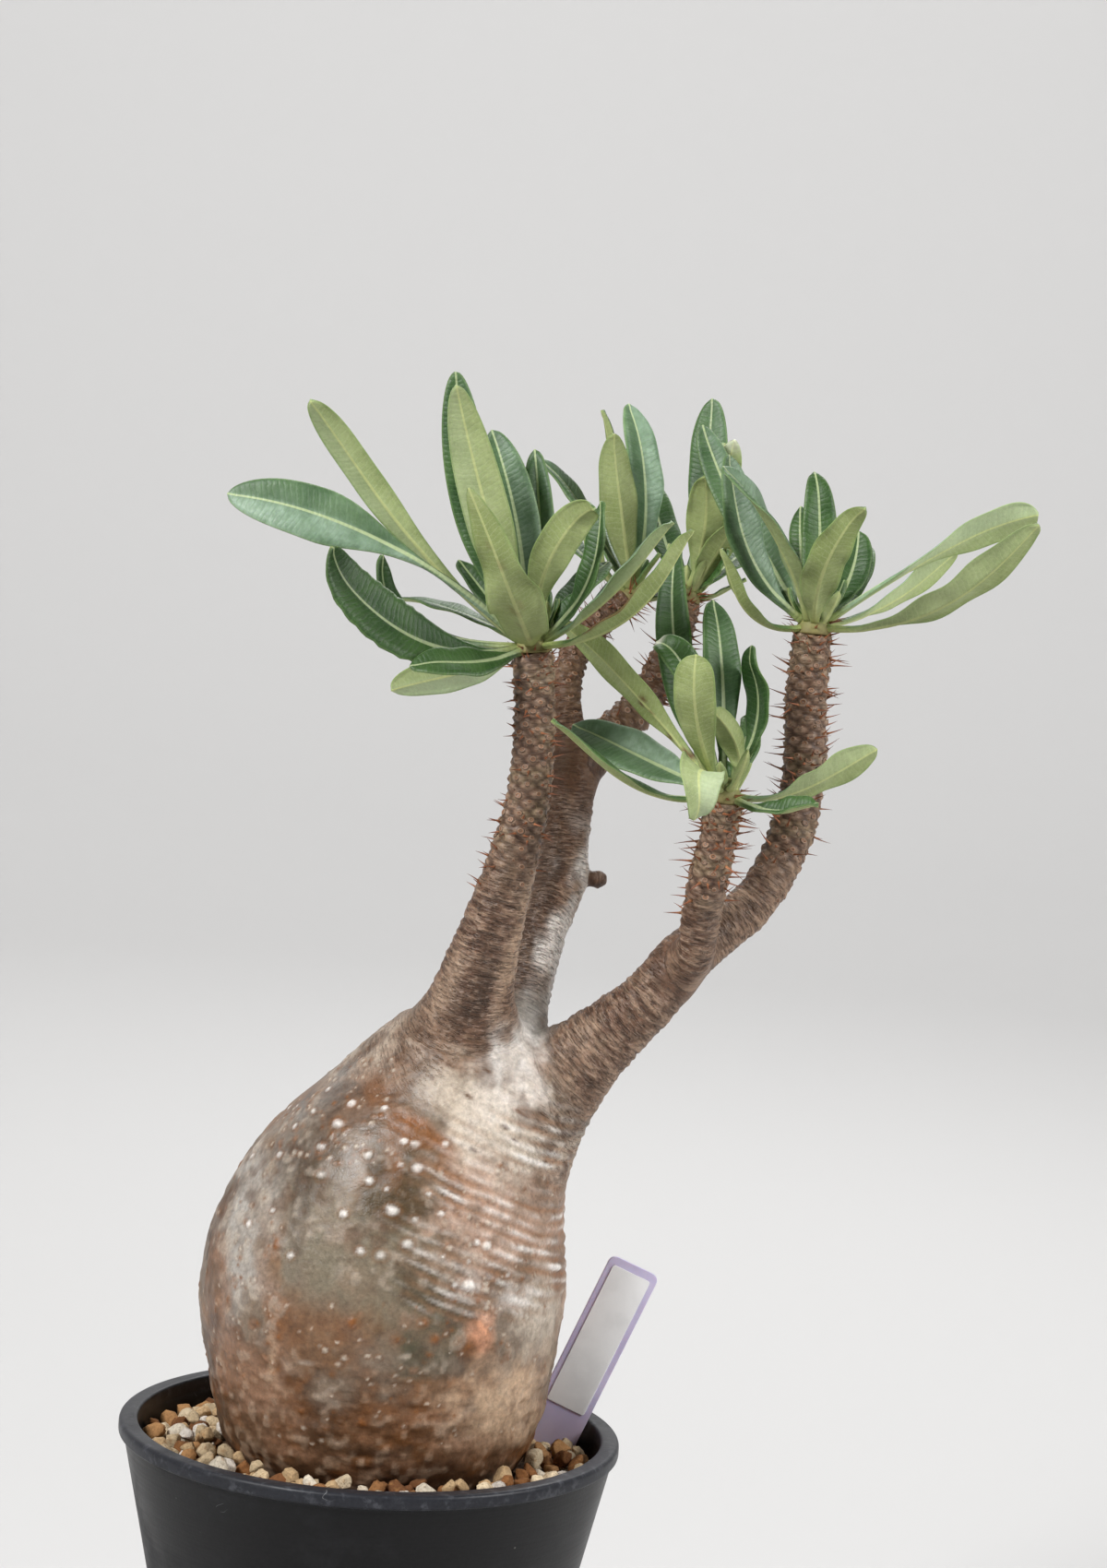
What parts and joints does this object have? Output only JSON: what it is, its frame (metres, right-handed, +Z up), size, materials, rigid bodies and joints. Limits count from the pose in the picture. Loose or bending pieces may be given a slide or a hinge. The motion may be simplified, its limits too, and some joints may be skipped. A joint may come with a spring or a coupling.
{
  "type": "potted pachypodium",
  "caption": "Bulbous bottle-shaped succulent with spiny branches and rosettes of long leaves, rooted in gravel in a tapered round pot with a plain plant label.",
  "frame": {"origin": "centre of the pot's base, on the surface that the pot stands on", "axes": "+Z up along the pot's axis, -Y towards the front, where the plant's leaning branch goes to +X and the label stands at the right"},
  "size_m": [0.2043, 0.1463, 0.3522],
  "materials": {
    "black_plastic": "satin black moulded plastic with fine scuffs",
    "gravel_mix": "dry porous grains, cream and orange-brown",
    "bark": "smooth mottled bark, waxy in places",
    "leaf_green": "leathery, dark above and pale below",
    "lavender_plastic": "satin",
    "white_paper": "smooth blank sticker"
  },
  "bodies": {
    "root": {"pot": "black_plastic", "gravel": "gravel_mix", "plant_body": "bark", "rosette_front_left": "leaf_green", "rosette_front_right": "leaf_green", "rosette_right": "leaf_green", "rosette_back_right": "leaf_green", "rosette_back_left": "leaf_green", "label_stake": "lavender_plastic", "label_sticker": "white_paper"}
  },
  "joints": []
}
